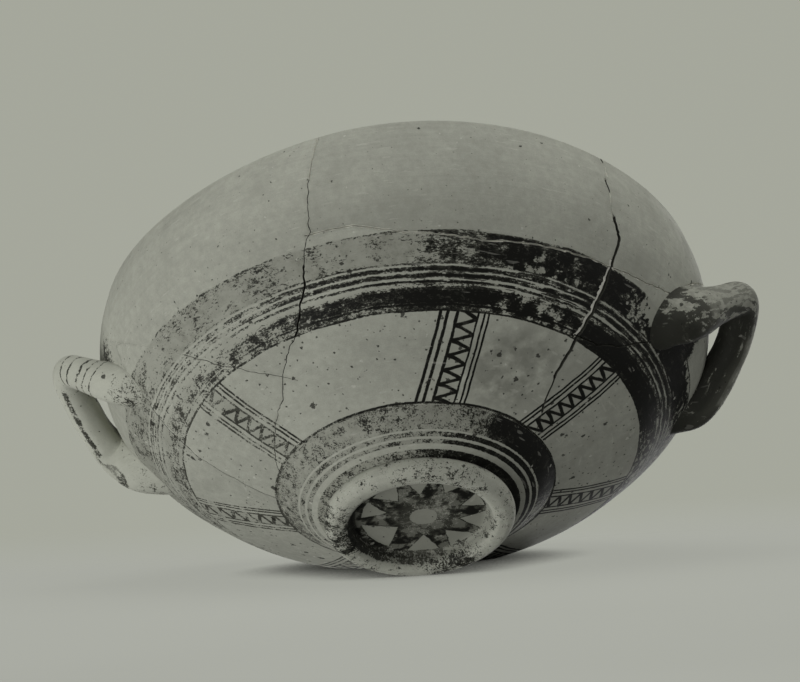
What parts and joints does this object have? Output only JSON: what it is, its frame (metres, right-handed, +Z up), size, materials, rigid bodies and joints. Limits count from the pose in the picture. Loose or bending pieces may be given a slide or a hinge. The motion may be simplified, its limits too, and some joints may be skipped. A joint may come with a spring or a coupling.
{
  "type": "two-handled bowl",
  "caption": "Mended clay bowl on a low ring foot with two slanting loop handles and dark painted bands, ladders and a star.",
  "frame": {"origin": "on the bowl's axis, at the line where the foot rests", "axes": "+Z up along the bowl's axis, the two handles along X, the wall seen in the picture facing -Y"},
  "size_m": [0.3017, 0.2604, 0.1171],
  "materials": {
    "foot_clay": "matte painted clay, worn pale on the ring",
    "wall_clay": "smooth matte clay with dark painted bands",
    "light_handle_clay": "smooth pale clay with a few dark strokes",
    "dark_handle_clay": "dark paint over clay, worn through in patches"
  },
  "bodies": {
    "root": {"foot": "foot_clay", "sherd_back": "wall_clay", "sherd_rim_left": "wall_clay", "sherd_floor_left": "wall_clay", "sherd_floor_middle": "wall_clay", "sherd_rim_middle": "wall_clay", "sherd_rim_right": "wall_clay", "sherd_shoulder": "wall_clay", "handle_left": "light_handle_clay", "handle_right": "dark_handle_clay"}
  },
  "joints": []
}
